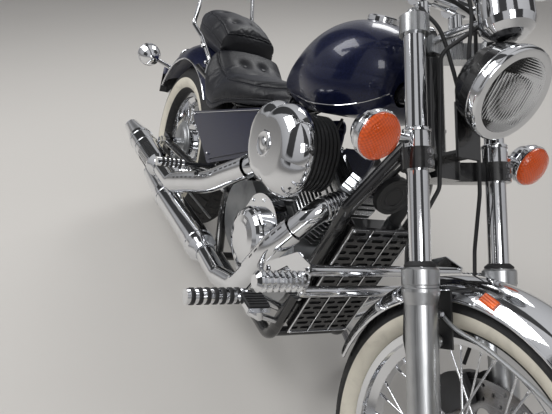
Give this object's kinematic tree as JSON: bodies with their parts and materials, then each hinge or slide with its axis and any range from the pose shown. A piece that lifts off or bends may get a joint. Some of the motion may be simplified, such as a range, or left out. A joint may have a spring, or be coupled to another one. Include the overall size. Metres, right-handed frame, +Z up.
{
  "type": "cruiser motorcycle",
  "caption": "Long low cruiser motorcycle with a finned V engine, wire wheels, teardrop tank and stepped leather seats, leaning on its side stand.",
  "frame": {"origin": "centre of the bounding box's base, on the floor under the parked machine", "axes": "+X forward, +Y to the machine's left, +Z up; the machine leans 16.5 degrees to its left on its side stand"},
  "size_m": [2.318, 1.0587, 1.3678],
  "materials": {
    "tyre": "matt",
    "chrome": "polished",
    "alloy": "satin",
    "fins": "satin",
    "black": "gloss",
    "navy": "gloss metallic",
    "rubber": "matt",
    "leather": "satin",
    "lens": "clear",
    "orange": "gloss",
    "red": "gloss",
    "steel": "brushed",
    "plastic": "matt"
  },
  "bodies": {
    "frame": {"main_frame": "black", "swingarm": "black", "rear_axle": "steel", "brake_plate": "alloy", "crankcase": "alloy", "cylinders": "fins", "cylinder_heads": "fins", "head_covers": "chrome", "engine_covers": "chrome", "intake": "black", "air_cleaner_case": "black", "air_cleaner_cover": "chrome", "exhaust_headers": "chrome", "silencers": "chrome", "radiator": "black", "radiator_guard": "black", "radiator_hose": "rubber", "horn": "black", "fuel_tank": "navy", "fuel_cap": "chrome", "rider_seat": "leather", "pillion_seat": "leather", "rear_fender": "navy", "sissy_bar": "chrome", "tail_lamp": "red", "rear_indicators": "chrome", "rear_indicator_lenses": "orange", "side_covers": "navy", "battery_box": "plastic", "highway_bars": "chrome", "foot_controls": "chrome", "drive_chain": "steel"},
    "fork": {"fork_tubes": "chrome", "fork_sliders": "alloy", "lower_clamp": "black", "upper_clamp": "alloy", "handlebar": "chrome", "grips": "rubber", "hand_controls": "black", "mirrors": "chrome", "speedometer": "chrome", "headlight_shell": "black", "headlight_lens": "lens", "headlight_bracket": "chrome", "front_indicators": "chrome", "front_indicator_lenses": "orange", "front_fender": "chrome", "front_fender_bracket": "black", "front_axle": "steel", "brake_caliper": "black", "brake_hose": "rubber", "speedometer_cable": "rubber"},
    "front_wheel": {"front_tyre": "tyre", "front_rim": "chrome", "brake_disc": "steel"},
    "rear_wheel": {"rear_tyre": "tyre", "rear_rim": "chrome", "sprocket": "steel"},
    "side_stand": {"side_stand": "black"}
  },
  "joints": [
    {"name": "steering", "type": "hinge", "parent": "frame", "child": "fork", "pos_m": [0.41155, -0.00252, 0.84643], "axis": [-0.5496, 0.2368, 0.8011], "range_deg": [-41, 31]},
    {"name": "front_wheel_spin", "type": "hinge", "parent": "fork", "child": "front_wheel", "pos_m": [0.82871, -0.15535, 0.31548], "axis": [-0.0736, 0.9415, -0.3288], "continuous": true},
    {"name": "rear_wheel_spin", "type": "hinge", "parent": "frame", "child": "rear_wheel", "pos_m": [-0.77615, -0.1605, 0.31649], "axis": [-0.0008, 0.9588, -0.284], "continuous": true},
    {"name": "side_stand_fold", "type": "hinge", "parent": "frame", "child": "side_stand", "pos_m": [0.2084, -0.05296, 0.15562], "axis": [0.0551, 0.8267, 0.56], "range_deg": [0, 94.2]}
  ]
}
